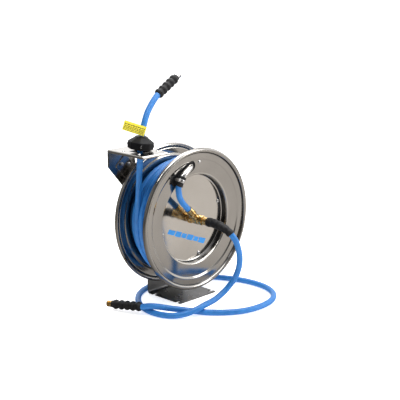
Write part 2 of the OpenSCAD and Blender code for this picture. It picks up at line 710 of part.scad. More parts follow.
pedestal();
guide_arm();
guide_head();
roller_cage();
roller_pins();
cage_rivets();
arm_bolts();
head_bolts();
axle();
axle_washer();
axle_nut();
spring_arbor();
front_retaining_ring();
pawl_pivot();
pawl_spring();
swivel_stem();
swivel_seals();
swivel_retaining_ring();
lead_ferrule();
lead_restrictor();
lead_hose();
lead_grip();
lead_fitting();
front_disc();
rear_disc();
drum_core();
front_disc_screws();
rear_disc_screws();
ring_rivet();
front_hub();
rear_hub();
front_bushing();
rear_bushing();
spring_case();
spring_cover();
main_spring();
ratchet_wheel();
swivel_body();
port_fitting();
link_hose();
neck_grommet();
neck_clamp();
gooseneck();
wound_hose();
stop_front_half();
stop_rear_half();
stop_bolts();
hose_tag();
tail_hose();
tail_grip();
tail_fitting();
pull_hose();
roller_left();
roller_right();
roller_front();
roller_rear();
ratchet_pawl();
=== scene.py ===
"""Retractable hose reel: the visual model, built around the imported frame."""
import math
import random

import bmesh
import bpy
from mathutils import Matrix, Vector

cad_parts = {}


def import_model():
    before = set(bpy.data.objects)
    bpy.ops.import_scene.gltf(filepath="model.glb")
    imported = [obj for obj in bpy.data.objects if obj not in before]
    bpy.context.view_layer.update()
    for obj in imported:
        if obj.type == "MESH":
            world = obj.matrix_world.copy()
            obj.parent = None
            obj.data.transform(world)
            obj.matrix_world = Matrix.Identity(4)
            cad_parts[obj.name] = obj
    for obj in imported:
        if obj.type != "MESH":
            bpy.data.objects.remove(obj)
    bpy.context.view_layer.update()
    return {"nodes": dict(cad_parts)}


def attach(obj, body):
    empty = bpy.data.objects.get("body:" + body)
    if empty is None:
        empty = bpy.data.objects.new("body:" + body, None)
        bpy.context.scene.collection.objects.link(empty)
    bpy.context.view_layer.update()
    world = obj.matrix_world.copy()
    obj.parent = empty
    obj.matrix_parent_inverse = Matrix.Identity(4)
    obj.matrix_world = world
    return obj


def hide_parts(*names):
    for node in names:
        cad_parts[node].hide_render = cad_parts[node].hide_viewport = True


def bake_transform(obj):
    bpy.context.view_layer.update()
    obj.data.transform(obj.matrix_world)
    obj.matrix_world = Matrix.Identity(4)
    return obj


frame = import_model()
MM = 0.001
AXLE_Z = 224


# ---------------------------------------------------------------- camera

def aim_camera():
    azimuth, elevation, roll = (math.radians(a) for a in (-45.25, 13.96, -0.357))
    back = Vector((math.sin(azimuth) * math.cos(elevation), -math.cos(azimuth) * math.cos(elevation),
                   math.sin(elevation)))
    right = Vector((math.cos(azimuth), math.sin(azimuth), 0))
    up = back.cross(right)
    right_rolled = math.cos(roll) * right + math.sin(roll) * up
    up_rolled = -math.sin(roll) * right + math.cos(roll) * up
    data = bpy.data.cameras.new("camera")
    data.lens = 88.04
    data.sensor_width = 36
    data.clip_end = 200
    camera = bpy.data.objects.new("camera", data)
    bpy.context.scene.collection.objects.link(camera)
    turn = Matrix((right_rolled, up_rolled, back)).transposed().to_4x4()
    camera.matrix_world = Matrix.Translation((-1.8050, -1.8562, 0.9111)) @ turn
    bpy.context.scene.camera = camera


aim_camera()


# ---------------------------------------------------------------- materials

class Nodes:
    """A material's node tree, with short calls for the nodes used here."""

    def __init__(self, name):
        self.material = bpy.data.materials.new(name)
        self.material.use_nodes = True
        self.tree = self.material.node_tree
        self.shader = self.tree.nodes["Principled BSDF"]
        self.place = self.tree.nodes.new("ShaderNodeTexCoord").outputs["Object"]

    def link(self, a, b):
        self.tree.links.new(a, b)

    def noise(self, scale, detail=3.0, stretch=None, rough=0.55):
        n = self.tree.nodes.new("ShaderNodeTexNoise")
        n.inputs["Scale"].default_value = scale
        n.inputs["Detail"].default_value = detail
        n.inputs["Roughness"].default_value = rough
        source = self.place
        if stretch:
            m = self.tree.nodes.new("ShaderNodeMapping")
            m.inputs["Scale"].default_value = stretch
            self.link(source, m.inputs["Vector"])
            source = m.outputs["Vector"]
        self.link(source, n.inputs["Vector"])
        return n.outputs["Fac"]

    def ranged(self, value, low, high, start=0.3, stop=0.7):
        """Maps start to stop onto low to high."""
        n = self.tree.nodes.new("ShaderNodeMapRange")
        for key, number in (("From Min", start), ("From Max", stop), ("To Min", low), ("To Max", high)):
            n.inputs[key].default_value = number
        self.link(value, n.inputs["Value"])
        return n.outputs["Result"]

    def ramp(self, value, *stops):
        """Colour ramp through (position, colour) stops."""
        n = self.tree.nodes.new("ShaderNodeValToRGB")
        while len(n.color_ramp.elements) < len(stops):
            n.color_ramp.elements.new(0.5)
        for element, (at, colour) in zip(n.color_ramp.elements, stops):
            element.position = at
            element.color = (*colour, 1)
        self.link(value, n.inputs["Fac"])
        return n.outputs["Color"]

    def bump(self, height, distance, strength=1.0, after=None):
        n = self.tree.nodes.new("ShaderNodeBump")
        n.inputs["Distance"].default_value = distance
        n.inputs["Strength"].default_value = strength
        self.link(height, n.inputs["Height"])
        if after:
            self.link(after, n.inputs["Normal"])
        return n.outputs["Normal"]

    def finish(self, colour=None, rough=None, normal=None, metal=0.0, **values):
        s = self.shader.inputs
        s["Metallic"].default_value = metal
        for socket, value in (("Base Color", colour), ("Roughness", rough), ("Normal", normal)):
            if value is None:
                continue
            if isinstance(value, (int, float)):
                s[socket].default_value = value
            elif isinstance(value, tuple):
                s[socket].default_value = (*value, 1)
            else:
                self.link(value, s[socket])
        for key, value in values.items():
            s[key.replace("_", " ")].default_value = value
        return self.material


def metal(name, dark, light, rough_low, rough_high, wave=0.00012, grain=0.00001, grain_scale=900,
          stretch=None):
    n = Nodes(name)
    colour = n.ramp(n.noise(9, 4), (0.3, dark), (0.7, light))
    rough = n.ranged(n.noise(38, 5), rough_low, rough_high)
    normal = n.bump(n.noise(16, 2), wave)
    normal = n.bump(n.noise(grain_scale, 2, stretch), grain, after=normal)
    return n.finish(colour, rough, normal, 1.0)


def rubber(name, dark, light, rough_low, rough_high, grain=0.00004, grain_scale=700, mottle=60, **values):
    n = Nodes(name)
    colour = n.ramp(n.noise(mottle, 4), (0.3, dark), (0.7, light))
    rough = n.ranged(n.noise(mottle * 1.7, 5), rough_low, rough_high)
    normal = n.bump(n.noise(grain_scale, 3), grain)
    return n.finish(colour, rough, normal, 0.0, **values)


STAINLESS = metal("polished_stainless", (0.54, 0.515, 0.475), (0.61, 0.585, 0.545), 0.09, 0.16)
# Very dark stainless with a brushed grain: painted shade and dark reflection on the pedestal's polished
# sheet.
PAINTED_SHADE_PEDESTAL = metal("pedestal_painted_shade_stainless", (0.135, 0.132, 0.129), (0.182, 0.178, 0.172), 0.24, 0.36,
                   grain=0.00003, grain_scale=240, stretch=(1, 1, 9))
# Darker copy of the polished stainless: painted shade and dark reflection on the guide head's side plate and
# on the arm's faces.
PAINTED_SHADE_SHEET = metal("head_painted_shade_stainless", (0.27, 0.262, 0.255), (0.33, 0.32, 0.31), 0.14, 0.24)
# Darker copy of the polished stainless: painted dark reflection on the discs' raised ring.
PAINTED_DARK_RING = metal("ring_painted_reflection_stainless", (0.375, 0.36, 0.335), (0.43, 0.413, 0.388), 0.09, 0.16)
CHROME = metal("chrome_tube", (0.74, 0.72, 0.70), (0.80, 0.79, 0.77), 0.06, 0.12, wave=0.00005)
ZINC = metal("plated_steel", (0.60, 0.60, 0.60), (0.72, 0.71, 0.70), 0.18, 0.30, wave=0.00003)
BRASS = metal("turned_brass", (0.66, 0.44, 0.17), (0.80, 0.58, 0.27), 0.13, 0.26, wave=0.00004,
              grain=0.00002)
BRONZE = metal("bushing_bronze", (0.42, 0.26, 0.12), (0.52, 0.34, 0.17), 0.34, 0.5)
STEEL = metal("machined_steel", (0.34, 0.34, 0.35), (0.44, 0.44, 0.45), 0.26, 0.42, grain=0.00003)
SPRING = metal("spring_steel", (0.16, 0.17, 0.21), (0.24, 0.26, 0.32), 0.28, 0.42)
HOSE = rubber("blue_hose", (0.017, 0.158, 0.475), (0.024, 0.198, 0.555), 0.38, 0.48, grain=0.00002,
              Specular_IOR_Level=0.5)
BLACK = rubber("black_rubber", (0.008, 0.008, 0.009), (0.015, 0.015, 0.016), 0.42, 0.58, grain=0.00006,
               Specular_IOR_Level=0.3)
STOP_RUBBER = rubber("stop_rubber", (0.004, 0.004, 0.005), (0.007, 0.007, 0.008), 0.38, 0.52, grain=0.00006,
                     Specular_IOR_Level=0.18)
NYLON = rubber("black_nylon", (0.014, 0.014, 0.014), (0.024, 0.024, 0.024), 0.42, 0.55)
SEAL = rubber("seal_rubber", (0.010, 0.010, 0.010), (0.016, 0.016, 0.016), 0.45, 0.6)
DECAL = rubber("blue_print", (0.010, 0.22, 0.62), (0.014, 0.27, 0.70), 0.30, 0.40, grain=0.000004)
YELLOW = rubber("yellow_tag", (0.97, 0.81, 0.05), (1.0, 0.88, 0.08), 0.24, 0.34, grain=0.00001)
DARK_BOLT = metal("blackened_steel", (0.10, 0.10, 0.10), (0.16, 0.16, 0.16), 0.3, 0.4, wave=0.00003)
# Dark stainless: painted shade on the discs' drawn walls and in the grooves inside their rims.
PAINTED_SHADE_WALL = metal("painted_shade_stainless", (0.060, 0.060, 0.062), (0.090, 0.088, 0.086), 0.14, 0.22, wave=0.00008)
INK = rubber("tag_print", (0.05, 0.045, 0.01), (0.08, 0.07, 0.015), 0.34, 0.44, grain=0.00001)


# ---------------------------------------------------------------- mesh tools, all in millimetres

def piece(name, verts, faces, material, body, replaces=(), slot=None, angle=35.0, extra=()):
    """A mesh piece from vertices in millimetres, riding on a CAD body."""
    mesh = bpy.data.meshes.new(name)
    mesh.from_pydata([tuple(c * MM for c in v) for v in verts], [], faces)
    mesh.validate()
    obj = bpy.data.objects.new(name, mesh)
    bpy.context.scene.collection.objects.link(obj)
    for m in (material, *extra):
        mesh.materials.append(m)
    b = bmesh.new()
    b.from_mesh(mesh)
    bmesh.ops.remove_doubles(b, verts=b.verts, dist=1e-7)
    bmesh.ops.recalc_face_normals(b, faces=b.faces)
    b.to_mesh(mesh)
    b.free()
    for f in mesh.polygons:
        f.use_smooth = True
    mesh.set_sharp_from_angle(angle=math.radians(angle))
    if body:
        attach(obj, body)
    if replaces:
        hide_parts(*([replaces] if isinstance(replaces, str) else replaces))
    return obj


def bevelled(obj, width, segments=3, angle=40.0):
    m = obj.modifiers.new("edges", "BEVEL")
    m.width = width * MM
    m.segments = segments
    m.limit_method = "ANGLE"
    m.angle_limit = math.radians(angle)
    return obj


def placed(at, towards):
    """Matrix that takes local +Z to a direction, with its origin at a point."""
    z = Vector(towards).normalized()
    return Matrix.Translation(Vector(at)) @ z.to_track_quat("Z", "Y").to_matrix().to_4x4()


def at_axle(y):
    """Local Z points to the front, local Y is up."""
    return Matrix(((1, 0, 0, 0), (0, 0, -1, y), (0, 1, 0, AXLE_Z), (0, 0, 0, 1)))


def arc(cx, cy, r, a0, a1, n):
    return [(cx + r * math.cos(math.radians(a0 + (a1 - a0) * i / n)),
             cy + r * math.sin(math.radians(a0 + (a1 - a0) * i / n))) for i in range(n + 1)]


def lathe(profile, m, n=48, closed=True):
    """Revolves (radius, height) points about local Z. A closed profile makes a ring."""
    verts, faces = [], []
    count = len(profile)
    for k in range(n):
        c, s = math.cos(2 * math.pi * k / n), math.sin(2 * math.pi * k / n)
        verts += [m @ Vector((r * c, r * s, h)) for r, h in profile]
    for k in range(n):
        a, b = k * count, (k + 1) % n * count
        for i in range(count if closed else count - 1):
            j = (i + 1) % count
            faces.append((a + i, b + i, b + j, a + j))
    return verts, faces


def join(*parts):
    verts, faces = [], []
    for v, f in parts:
        base = len(verts)
        verts += list(v)
        faces += [tuple(i + base for i in q) for q in f]
    return verts, faces


def solid_lathe(profile, m, n=48):
    """Revolves an open profile that starts and ends on the axis."""
    return lathe([(max(r, 0.0), h) for r, h in profile], m, n, closed=False)


def prism(outline, z0, z1, m):
    """Extrudes a closed outline of (x, y) points from z0 to z1."""
    n = len(outline)
    verts = [m @ Vector((x, y, z)) for z in (z0, z1) for x, y in outline]
    faces = [tuple(range(n - 1, -1, -1)), tuple(range(n, 2 * n))]
    faces += [(i, (i + 1) % n, n + (i + 1) % n, n + i) for i in range(n)]
    return verts, faces


def block(x0, x1, y0, y1, z0, z1, m=Matrix.Identity(4)):
    return prism([(x0, y0), (x1, y0), (x1, y1), (x0, y1)], z0, z1, m)


def hex_head(corner_r, z0, z1, m, spin=0.0):
    """Hexagonal prism whose two ends are turned down, as a nut's or a bolt head's are."""
    flat = corner_r * math.cos(math.radians(30))
    turn = corner_r - flat
    rings = []
    n = 48
    for r, z in ((flat * 0.98, z0), (corner_r, z0 + turn * 0.55),
                 (corner_r, z1 - turn * 0.55), (flat * 0.98, z1)):
        ring = []
        for k in range(n):
            a = 2 * math.pi * k / n
            away = (math.degrees(a) - spin) % 60 - 30
            reach = min(r, flat / math.cos(math.radians(away)))
            ring.append(m @ Vector((reach * math.cos(a), reach * math.sin(a), z)))
        rings.append(ring)
    verts = [v for ring in rings for v in ring]
    faces = [tuple(range(n - 1, -1, -1)), tuple(range(3 * n, 4 * n))]
    for j in range(3):
        faces += [(j * n + k, j * n + (k + 1) % n, (j + 1) * n + (k + 1) % n, (j + 1) * n + k)
                  for k in range(n)]
    return verts, faces


def smooth_route(points, step=5.0):
    """Points every few millimetres along a centripetal curve through a route."""
    p = [Vector(q) for q in points]
    p = [p[0] * 2 - p[1]] + p + [p[-1] * 2 - p[-2]]
    out = []
    for i in range(1, len(p) - 2):
        a, b, c, d = p[i - 1], p[i], p[i + 1], p[i + 2]
        t0, t1 = 0.0, (b - a).length ** 0.5
        t2 = t1 + (c - b).length ** 0.5
        t3 = t2 + (d - c).length ** 0.5
        count = max(2, round((c - b).length / step))
        for k in range(count):
            t = t1 + (t2 - t1) * k / count
            q1 = a * ((t1 - t) / (t1 - t0)) + b * ((t - t0) / (t1 - t0))
            q2 = b * ((t2 - t) / (t2 - t1)) + c * ((t - t1) / (t2 - t1))
            q3 = c * ((t3 - t) / (t3 - t2)) + d * ((t - t2) / (t3 - t2))
            r1 = q1 * ((t2 - t) / (t2 - t0)) + q2 * ((t - t0) / (t2 - t0))
            r2 = q2 * ((t3 - t) / (t3 - t1)) + q3 * ((t - t1) / (t3 - t1))
            out.append(r1 * ((t2 - t) / (t2 - t1)) + r2 * ((t - t1) / (t2 - t1)))
    out.append(p[-2])
    return out


def relaxed(points, passes, keep_ends=3):
    """Evens out a route without shortening it much: smooths, then unsmooths a little."""
    p = [Vector(q) for q in points]
    for _ in range(passes):
        for weight in (0.5, -0.52):
            q = list(p)
            for i in range(keep_ends, len(p) - keep_ends):
                q[i] = p[i] + ((p[i - 1] + p[i + 1]) / 2 - p[i]) * weight
            p = q
    return p


def sweep(path, radius, n=24, caps=True, side=Vector((0.3, 0.2, 1))):
    """Tube along a path. radius is a number or one number per point."""
    path = [Vector(q) for q in path]
    radii = radius if isinstance(radius, (list, tuple)) else [radius] * len(path)
    verts, faces = [], []
    for i, q in enumerate(path):
        t = (path[min(i + 1, len(path) - 1)] - path[max(i - 1, 0)]).normalized()
        side = (side - t * side.dot(t)).normalized()
        other = t.cross(side)
        verts += [q + radii[i] * (math.cos(2 * math.pi * k / n) * side
                                  + math.sin(2 * math.pi * k / n) * other) for k in range(n)]
    for i in range(len(path) - 1):
        faces += [(i * n + k, i * n + (k + 1) % n, (i + 1) * n + (k + 1) % n, (i + 1) * n + k)
                  for k in range(n)]
    if caps:
        faces += [tuple(range(n - 1, -1, -1)), tuple(range((len(path) - 1) * n, len(path) * n))]
    return verts, faces


def length_of(path):
    return sum((path[i + 1] - path[i]).length for i in range(len(path) - 1))


# ---------------------------------------------------------------- hoses, first of all

HOSE_R = 8.0
LEAD_ROUTE = [
    (0, -95, 224), (0, -120, 224), (2, -141, 220), (6, -159, 212), (12, -173, 199), (19, -181, 182),
    (25, -184, 161), (30, -184, 138), (32, -181, 115), (31, -175, 93), (27, -167, 73), (19, -159, 57),
    (7, -154, 44), (-9, -152, 35), (-28, -153, 29), (-50, -156, 27), (-80, -160, 26), (-108, -157, 20),
    (-135, -146, 13), (-156, -128, 9), (-171, -104, 8), (-178, -75, 8), (-177, -46, 8),
    (-169, -16, 8), (-155, 12, 8), (-134, 40, 8), (-106, 66, 8), (-74, 84, 8), (-38, 94, 8),
    (0, 98, 8), (40, 95, 8), (78, 82, 8), (112, 58, 8), (140, 26, 8), (162, -13, 8), (178, -56, 8),
    (184, -102, 8), (179, -149, 8), (159, -190, 8), (125, -221, 8), (79, -237, 8), (32, -238, 8),
    (-8, -228, 8), (-46, -204, 8), (-76, -173, 8), (-96, -149, 10), (-114, -131, 13), (-133, -114, 17),
    (-151, -97, 20.5), (-167, -80, 24), (-179, -64, 25), (-187, -53, 24), (-193.5, -41, 21.5),
    (-207.6, 3.7, 18.1),
]
LINK_ROUTE = [
    (-34, -56, 258), (-45, -56, 269), (-55, -57, 279), (-63, -58, 289), (-69, -59, 300), (-73, -61, 312),
    (-75, -62, 325), (-72, -64, 336), (-68, -64, 344),
]
NECK_ROUTE = [
    (-68, -64, 344), (-59, -64, 354), (-47, -63, 362), (-35, -60, 367), (-25, -55, 370), (-16, -47, 373),
    (-10, -38, 374),
]
GUIDE = Vector((-150, 0, 425))      # middle of the window in the guide head's top plate
TAIL_ROUTE = [
    (-148.5, -1.5, 447.1), (-147.2, -2.8, 463), (-145.4, -2.7, 474), (-141.5, -1.7, 484), (-135.6, -0.2, 494),
    (-127.8, 2.3, 508.5), (-117.3, 5.6, 522.6), (-104.4, 8.4, 536.5), (-89.4, 10.7, 550.3),
    (-74.1, 13.4, 561.6), (-32, 20.8, 581.1),
]
# Each grip starts at its route's last point but one.
TAIL_GRIP_AT = Vector(TAIL_ROUTE[-2])
LEAD_GRIP_AT = Vector(LEAD_ROUTE[-2])
GRIP_LONG = 92.0
RIB_PITCH = 17.6


def bearing(azimuth, elevation):
    az, el = math.radians(azimuth), math.radians(elevation)
    return Vector((math.cos(el) * math.cos(az), math.cos(el) * math.sin(az), math.sin(el)))


LEAD_DIR = bearing(107.5, -4.2)
TAIL_DIR = bearing(10, 24.5)
STOP_LEAN = math.radians(6.6)
STOP_R = 34
STOP_PLACE = Matrix.Translation((GUIDE.x, GUIDE.y, GUIDE.z + 0.3 + STOP_R * math.sin(STOP_LEAN))) \
    @ Matrix.Rotation(STOP_LEAN, 4, Vector((1, 1, 0)))


def hose(name, route, body, replaces, passes=6):
    path = relaxed(smooth_route(route), passes)
    obj = piece(name, *sweep(path, HOSE_R), HOSE, body, replaces, "blue_hose", angle=50)
    return obj, path


lead_hose, LEAD_PATH = hose("lead_hose_tube", LEAD_ROUTE, "frame", "lead_hose")
tail_hose, TAIL_PATH = hose("free_end_tube", TAIL_ROUTE, "hose_end", "tail_hose")
hose("link_hose_tube", LINK_ROUTE, "drum", "link_hose", passes=3)

# The run up to the guide leaves the outermost wrap at the height of the axle.
PULL_ROUTE = [(-158.6, 8.5, 212), (-159, 8.5, 224), (-158.4, 7.9, 240), (-150.9, 1.0, 409),
              tuple(STOP_PLACE @ Vector((0, 0, 0))), tuple(STOP_PLACE @ Vector((0, 0, 18)))]
pull_path = smooth_route(PULL_ROUTE, 8)
pull_hose = piece("pull_hose_tube", *sweep(pull_path, HOSE_R - 0.05), HOSE, None, "pull_hose",
                  "blue_hose", angle=50)
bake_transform(pull_hose)


def rib_swell(z, power):
    """How far a rib has risen at a distance along its sleeve, from 0 to 1."""
    phase = (z % RIB_PITCH) / RIB_PITCH
    return max(0.0, math.sin(math.pi * min(1.0, phase * 1.02))) ** power


def ribbed_sleeve(at, towards):
    """Moulded rubber sleeve with five rounded ribs, each with shallow grooves along it."""
    m = placed(at, towards)
    high, low, ribs, steps = 13.0, 9.6, 5, 110
    rows = []
    for i in range(steps + 1):
        z = GRIP_LONG * i / steps
        swell = rib_swell(z, 1.4)
        r = low if z > RIB_PITCH * ribs else low + (high - low) * swell
        r -= 1.6 * max(0.0, 1 - z / 2.2) ** 2 + 1.6 * max(0.0, 1 - (GRIP_LONG - z) / 2.2) ** 2
        rows.append((r, z, swell))
    verts, faces = [], []
    n = 64
    for r, z, swell in rows:
        for k in range(n):
            a = 2 * math.pi * k / n
            groove = 0.45 * swell * max(0.0, math.cos(8 * a)) ** 6
            verts.append(m @ Vector(((r - groove) * math.cos(a), (r - groove) * math.sin(a), z)))
    bore = HOSE_R + 0.02
    for z in (GRIP_LONG, 0):
        verts += [m @ Vector((bore * math.cos(2 * math.pi * k / n), bore * math.sin(2 * math.pi * k / n), z))
                  for k in range(n)]
    total = len(rows) + 2
    for i in range(total):
        a, b = i * n, (i + 1) % total * n
        faces += [(a + k, a + (k + 1) % n, b + (k + 1) % n, b + k) for k in range(n)]
    return verts, faces


def male_end(grip_at, towards):
    """Crimped ferrule and male thread at the far end of a grip."""
    m = placed(grip_at + towards * GRIP_LONG, towards)
    crimp = [(4.6, -7), (8.2, -7), (8.6, -5), (8.6, 1.2), (8.9, 1.6), (8.9, 2.2), (4.6, 2.2)]
    thread = [(4.5, 2.0), (7.6, 2.0)]
    z = 2.6
    while z < 13.2:
        thread += [(8.3, z), (8.3, z + 0.35), (7.55, z + 0.8), (7.55, z + 1.0)]
        z += 1.33
    thread += [(7.4, 14.0), (5.2, 14.0), (4.5, 13.2)]
    return join(lathe(crimp, m, 48), lathe(thread, m, 48))


lead_grip = piece("lead_end_grip", *ribbed_sleeve(LEAD_GRIP_AT, LEAD_DIR), BLACK, "frame", "lead_grip",
                  "black_rubber", angle=60)
lead_end = piece("lead_end_fitting", *male_end(LEAD_GRIP_AT, LEAD_DIR), BRASS, "frame",
                 "lead_fitting", "brass")
tail_grip = piece("free_end_grip", *ribbed_sleeve(TAIL_GRIP_AT, TAIL_DIR), BLACK, "hose_end",
                  "tail_grip", "black_rubber", angle=60)
tail_end = piece("free_end_fitting", *male_end(TAIL_GRIP_AT, TAIL_DIR), ZINC, "hose_end",
                 "tail_fitting", "plated_steel")


def bend_restrictor():
    """A ribbed sleeve that tapers, bent along the start of the lead hose."""
    fine = [a.lerp(b, k / 4) for a, b in zip(LEAD_PATH, LEAD_PATH[1:]) for k in range(4)]
    length, high, low = 84.0, 13.0, 11.2
    z, points, radii = 0.0, [], []
    for i in range(len(fine) - 1):
        if z > length:
            break
        taper = 1.0 - 0.16 * z / length
        r = (low + (high - low) * rib_swell(z, 0.6)) * taper
        r -= 1.5 * max(0.0, 1 - z / 2.0) ** 2 + 1.2 * max(0.0, 1 - (length - z) / 2.5) ** 2
        points.append(fine[i])
        radii.append(r)
        z += (fine[i + 1] - fine[i]).length
    return sweep(points, radii, 48)


lead_restrictor = piece("lead_bend_restrictor", *bend_restrictor(), BLACK, "frame", "lead_restrictor",
                        "black_rubber", angle=60)

print("lead hose", round(length_of(LEAD_PATH)), "mm; free end", round(length_of(TAIL_PATH)), "mm")


# ---------------------------------------------------------------- the two discs

SHEET = 1.2


def smoothstep(x0, x1, h0, h1, n=8):
    return [(x0 + (x1 - x0) * i / n, h0 + (h1 - h0) * (3 * (i / n) ** 2 - 2 * (i / n) ** 3))
            for i in range(n + 1)]


def disc_profile(hole):
    """Section of a pressed disc: flat floor, drawn wall, raised ring, groove and rolled rim."""
    t = SHEET
    outer = [(hole, 32), (hole + 1, 32), (60, 32), (115, 32)] + arc(116.5, 37, 5, -90, 0, 10) \
        + arc(126.5, 47, 5, 180, 90, 10) + [(128, 52), (158, 52)] + smoothstep(159.5, 166, 52, 54.5) \
        + [(167.5, 54.5), (178.5, 54.5)] + arc(180, 56.5, 2, -90, 0, 6)[:-1] \
        + arc(188.5, 55, 6.5, 164, -60, 26)
    inner = [(hole, 32 - t), (hole + 1, 32 - t), (60, 32 - t), (115, 32 - t)] \
        + arc(116.5, 37, 5 + t, -90, 0, 10) + arc(126.5, 47, 5 - t, 180, 90, 10) \
        + [(128, 52 - t), (158, 52 - t)] + smoothstep(160, 166.5, 52 - t, 54.5 - t) \
        + [(168, 54.5 - t), (178.5, 54.5 - t)] + arc(180, 56.5, 2 + t, -90, 0, 6)[:-1] \
        + arc(188.5, 55, 6.5 - t, 160, -60, 26)
    return outer + inner[::-1]


def cut(obj, verts, faces):
    """Subtracts a closed shape from a piece's mesh."""
    mesh = bpy.data.meshes.new("cutter")
    mesh.from_pydata([tuple(c * MM for c in v) for v in verts], [], faces)
    cutter = bpy.data.objects.new("cutter", mesh)
    bpy.context.scene.collection.objects.link(cutter)
    m = obj.modifiers.new("cut", "BOOLEAN")
    m.operation, m.solver, m.object = "DIFFERENCE", "EXACT", cutter
    bpy.context.view_layer.update()
    result = bpy.data.meshes.new_from_object(obj.evaluated_get(bpy.context.evaluated_depsgraph_get()))
    obj.modifiers.remove(m)
    obj.data = result
    bpy.data.objects.remove(cutter)
    bpy.data.meshes.remove(mesh)
    for f in result.polygons:
        f.use_smooth = True
    result.set_sharp_from_angle(angle=math.radians(35))


FRONT = at_axle(0)
REAR = Matrix(((1, 0, 0, 0), (0, 0, 1, 0), (0, 1, 0, AXLE_Z), (0, 0, 0, 1)))      # local Z to the rear
front_disc = piece("front_disc_sheet", *lathe(disc_profile(15.5), FRONT, 180), STAINLESS, "drum",
                   "front_disc", "polished_sheet", extra=(PAINTED_SHADE_WALL, PAINTED_DARK_RING))
SLOT_A, SLOT_B = (-17, 149), (-76, 118)
SLOT_TURN = math.degrees(math.atan2(SLOT_A[1] - SLOT_B[1], SLOT_A[0] - SLOT_B[0]))


def slot_outline(r, n=20):
    """Outline with round ends about the two ends of the slot in the front disc."""
    return arc(*SLOT_A, r, SLOT_TURN - 90, SLOT_TURN + 90, n) \
        + arc(*SLOT_B, r, SLOT_TURN + 90, SLOT_TURN + 270, n)


cut(front_disc, *prism(slot_outline(13), 45, 60, FRONT))
rear_disc = piece("rear_disc_sheet", *lathe(disc_profile(20), REAR, 180), STAINLESS, "drum", "rear_disc",
                  "polished_sheet", extra=(PAINTED_SHADE_WALL, PAINTED_DARK_RING))


def shade_walls(obj, outwards):
    """Painted shade: the drawn wall and the groove inside the rim get a dark stainless, and the raised ring a
    darker stainless between, for its dark reflections.
    """
    for face in obj.data.polygons:
        c = face.center / MM
        radius, depth = math.hypot(c.x, c.z - AXLE_Z), c.y * outwards
        on_wall = 119 < radius < 123.5 and 33 < depth < 42
        in_groove = 179.8 < radius < 183 and 54 < depth < 59
        if on_wall or in_groove:
            face.material_index = 1
        elif radius > 127 and (outwards < 0 or radius < 180):
            face.material_index = 2


shade_walls(front_disc, -1)
shade_walls(rear_disc, 1)


def slot_edging():
    """Rubber trim round the slot that the gooseneck passes through."""
    path = [FRONT @ Vector((x, y, 51.4)) for x, y in slot_outline(13.1, 24)]
    return sweep(path + path[:2], 1.7, 12, caps=False, side=Vector((0, 1, 0.01)))


piece("slot_edging", *slot_edging(), BLACK, "drum", slot="black_rubber")
# Painted shade: a thin black sheet closes the slot from behind, standing for the dark recess round the
# gooseneck.
piece("slot_painted_shade_sheet", *prism(slot_outline(14), 50.55, 50.7, FRONT), BLACK, "drum", slot="black_rubber")


def dome_screw(m):
    """Button head with a round socket, standing on local Z = 0."""
    r, h, socket = 5.5, 3.0, 2.7
    head = [(0, h * 0.35), (socket, h * 0.35), (socket, h * 0.97), (socket + 0.3, h)] \
        + [(r * math.sin(math.radians(a)), h * math.cos(math.radians((a - 30) * 1.5)))
           for a in range(40, 91, 10)] \
        + [(r, -0.02), (0, -0.02)]
    return solid_lathe(head, m, 32)


def screws(disc_place):
    """Four button screws with their nuts, round the floor of a disc's dish."""
    parts = []
    for a in range(15, 360, 90):
        m = disc_place @ Matrix.Rotation(math.radians(a), 4, "Z") @ Matrix.Translation((109, 0, 32))
        parts.append(dome_screw(m))
        parts.append(solid_lathe([(0, 0), (3, 0), (3, -9), (0, -9)], m, 24))
        parts.append(hex_head(5.5, -6.9, -2.4, m))
    return join(*parts)


piece("front_disc_button_screws", *screws(FRONT), ZINC, "drum", "front_disc_screws", "plated_steel")
piece("rear_disc_button_screws", *screws(REAR), ZINC, "drum", "rear_disc_screws", "plated_steel")
rivet_place = FRONT @ Matrix.Rotation(math.radians(85), 4, "Z") @ Matrix.Translation((156, 0, 52))
piece("front_ring_rivet", *solid_lathe([(0, 2.3), (1.5, 2.2), (3, 1.8), (4.2, 1.1), (5, 0), (0, 0)],
                                      rivet_place, 32), ZINC, "drum", "ring_rivet", "plated_steel")


def printed_stripe():
    """A sloping row of plain leaning bars on the floor of the front dish."""
    parts = []
    slope, lean = math.radians(-21.6), 3.0
    for x, w, h in ((-74, 26, 13), (-45, 22, 15), (-20, 18, 13), (1, 24, 15), (28, 18, 13), (49, 25, 15)):
        outline = [(x, -h / 2), (x + w, -h / 2), (x + w + lean, h / 2), (x + lean, h / 2)]
        turned = [(-18 + px * math.cos(slope) - py * math.sin(slope),
                   -49 + px * math.sin(slope) + py * math.cos(slope)) for px, py in outline]
        parts.append(prism(turned, 32.02, 32.12, FRONT))
    return join(*parts)


piece("printed_stripe", *printed_stripe(), DECAL, "drum", slot="blue_hose")


# ---------------------------------------------------------------- wound hose

